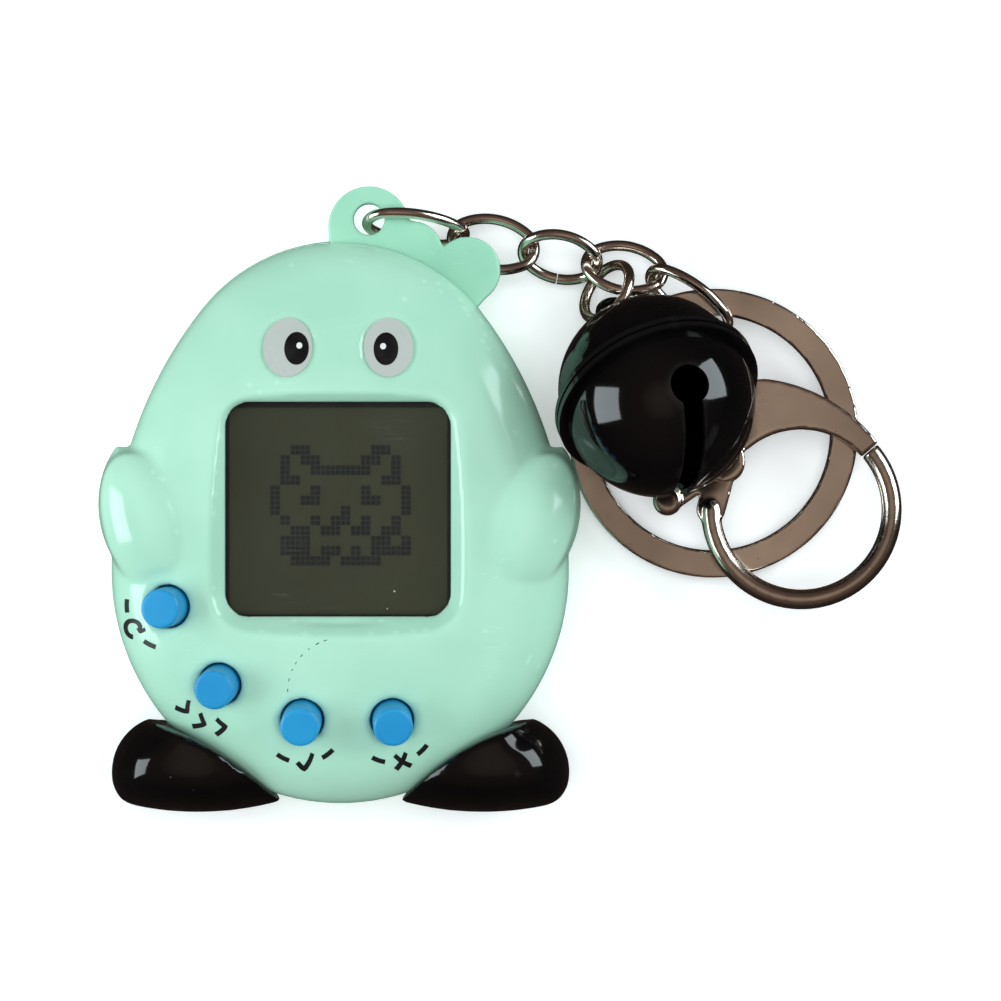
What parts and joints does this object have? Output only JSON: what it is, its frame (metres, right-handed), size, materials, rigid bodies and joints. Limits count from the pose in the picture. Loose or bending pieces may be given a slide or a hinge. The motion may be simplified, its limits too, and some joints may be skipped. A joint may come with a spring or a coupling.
{
  "type": "virtual pet keychain",
  "caption": "Egg-shaped handheld electronic pet with a small screen, push buttons, feet and a comb with an eyelet, on a chain with a jingle bell, a split ring and a lobster clasp.",
  "frame": {"origin": "middle of the flat back, on the surface that the toy lies on", "axes": "+Z out of the screen, +Y towards the comb and eyelet, +X to the right of the screen, towards the chain"},
  "size_m": [0.0823, 0.0642, 0.024],
  "materials": {
    "mint_shell": "gloss",
    "mint_comb": "gloss, slightly translucent",
    "black_plastic": "gloss",
    "blue_plastic": "satin",
    "eye_print": "satin",
    "window": "clear",
    "lcd": "semi-gloss",
    "strip": "matt",
    "board": "satin",
    "epoxy": "gloss",
    "buzzer": "satin",
    "cell": "satin",
    "contact": "satin",
    "screw": "satin",
    "silicone": "matt",
    "nickel": "polished",
    "bell_black": "gloss lacquer",
    "pellet_steel": "bright"
  },
  "bodies": {
    "case": {"front_shell": "mint_shell", "back_shell": "mint_shell", "comb_eyelet": "mint_comb", "left_foot": "black_plastic", "right_foot": "black_plastic", "left_eye": "eye_print", "right_eye": "eye_print", "screen_window": "window", "lcd_glass": "lcd", "contact_strips": "strip", "circuit_board": "board", "chip_blob": "epoxy", "buzzer_disc": "buzzer", "battery_cells": "cell", "battery_contacts": "contact", "battery_door": "mint_shell", "battery_door_screw": "screw", "case_screws": "screw", "board_screws": "screw", "reset_pad": "silicone", "select_pad": "silicone", "decide_pad": "silicone", "cancel_pad": "silicone"},
    "reset_button": {"reset_button": "blue_plastic"},
    "select_button": {"select_button": "blue_plastic"},
    "decide_button": {"decide_button": "blue_plastic"},
    "cancel_button": {"cancel_button": "blue_plastic"},
    "chain_link_1": {"chain_link_1": "nickel"},
    "chain_link_2": {"chain_link_2": "nickel"},
    "chain_link_3": {"chain_link_3": "nickel"},
    "chain_link_4": {"chain_link_4": "nickel"},
    "chain_link_5": {"chain_link_5": "nickel"},
    "split_ring": {"split_ring": "nickel"},
    "jump_ring": {"bell_jump_ring": "nickel"},
    "bell": {"bell_top": "bell_black", "bell_bowl": "bell_black", "bell_loop": "bell_black"},
    "pellet": {"bell_pellet": "pellet_steel"},
    "swivel": {"clasp_swivel": "nickel"},
    "clasp": {"clasp_body": "nickel", "clasp_pin": "nickel"},
    "gate": {"clasp_gate": "nickel"}
  },
  "joints": [
    {"name": "reset_press", "type": "slide", "parent": "case", "child": "reset_button", "axis": [0.2024, 0.0647, -0.9772], "range_m": [0, 0.0008], "stiffness_N_per_m": 900, "springref_m": -0.0004, "deforming": ["reset_pad"]},
    {"name": "select_press", "type": "slide", "parent": "case", "child": "select_button", "axis": [0.1412, 0.1576, -0.9774], "range_m": [0, 0.0008], "stiffness_N_per_m": 900, "springref_m": -0.0004, "deforming": ["select_pad"]},
    {"name": "decide_press", "type": "slide", "parent": "case", "child": "decide_button", "axis": [0.0424, 0.2, -0.9789], "range_m": [0, 0.0008], "stiffness_N_per_m": 900, "springref_m": -0.0004, "deforming": ["decide_pad"]},
    {"name": "cancel_press", "type": "slide", "parent": "case", "child": "cancel_button", "axis": [-0.0647, 0.2, -0.9777], "range_m": [0, 0.0008], "stiffness_N_per_m": 900, "springref_m": -0.0004, "deforming": ["cancel_pad"]},
    {"name": "link_1_swing", "type": "hinge", "parent": "case", "child": "chain_link_1", "pos_m": [0.0029, 0.0311, 0.0066], "axis": [0, 0, 1], "range_deg": [0, 40]},
    {"name": "link_2_swing", "type": "hinge", "parent": "chain_link_1", "child": "chain_link_2", "pos_m": [0.01248, 0.02941, 0.00266], "axis": [0.4081, 0.3731, 0.8332], "range_deg": [0, 25]},
    {"name": "link_3_swing", "type": "hinge", "parent": "chain_link_2", "child": "chain_link_3", "pos_m": [0.01991, 0.02795, 0.00282], "axis": [0.1561, 0.8853, -0.4381], "range_deg": [-25, 0]},
    {"name": "link_4_swing", "type": "hinge", "parent": "chain_link_3", "child": "chain_link_4", "pos_m": [0.02645, 0.02668, 0.00328], "axis": [0.107, 0.7362, 0.6682], "range_deg": [0, 15]},
    {"name": "link_5_swing", "type": "hinge", "parent": "chain_link_4", "child": "chain_link_5", "pos_m": [0.03326, 0.02564, 0.00307], "axis": [0.12, 0.8203, -0.5592], "range_deg": [0, 5]},
    {"name": "split_ring_swing", "type": "hinge", "parent": "chain_link_5", "child": "split_ring", "pos_m": [0.03982, 0.02019, 0.00329], "axis": [0.288, 0.4271, 0.8571], "range_deg": [0, 1]},
    {"name": "jump_ring_swing", "type": "hinge", "parent": "chain_link_4", "child": "jump_ring", "pos_m": [0.0259, 0.0244, 0.0046], "axis": [0, 0, 1], "range_deg": [-1.5, 0.5]},
    {"name": "bell_swing", "type": "hinge", "parent": "jump_ring", "child": "bell", "pos_m": [0.02879, 0.02071, 0.0077], "axis": [0, 0, 1], "range_deg": [-4, 0.3]},
    {"name": "pellet_roll", "type": "hinge", "parent": "bell", "child": "pellet", "pos_m": [0.0324, 0.0122, 0.0143], "axis": [0.9404, 0.3401, 0], "range_deg": [-20, 20]},
    {"name": "swivel_swing", "type": "hinge", "parent": "split_ring", "child": "swivel", "pos_m": [0.03226, 0.02064, 0.00279], "axis": [0, 0, 1], "range_deg": [0, 2]},
    {"name": "clasp_twist", "type": "hinge", "parent": "swivel", "child": "clasp", "pos_m": [0.039, 0.012, 0.004], "axis": [-0.6139, 0.7841, -0.0906], "range_deg": [-3, 1.5]},
    {"name": "gate_open", "type": "hinge", "parent": "clasp", "child": "gate", "pos_m": [0.03948, 0.00623, 0.00422], "axis": [0.0559, -0.0713, -0.9959], "range_deg": [0, 26], "stiffness_Nm_per_rad": 0.01, "springref_deg": -20.05}
  ]
}
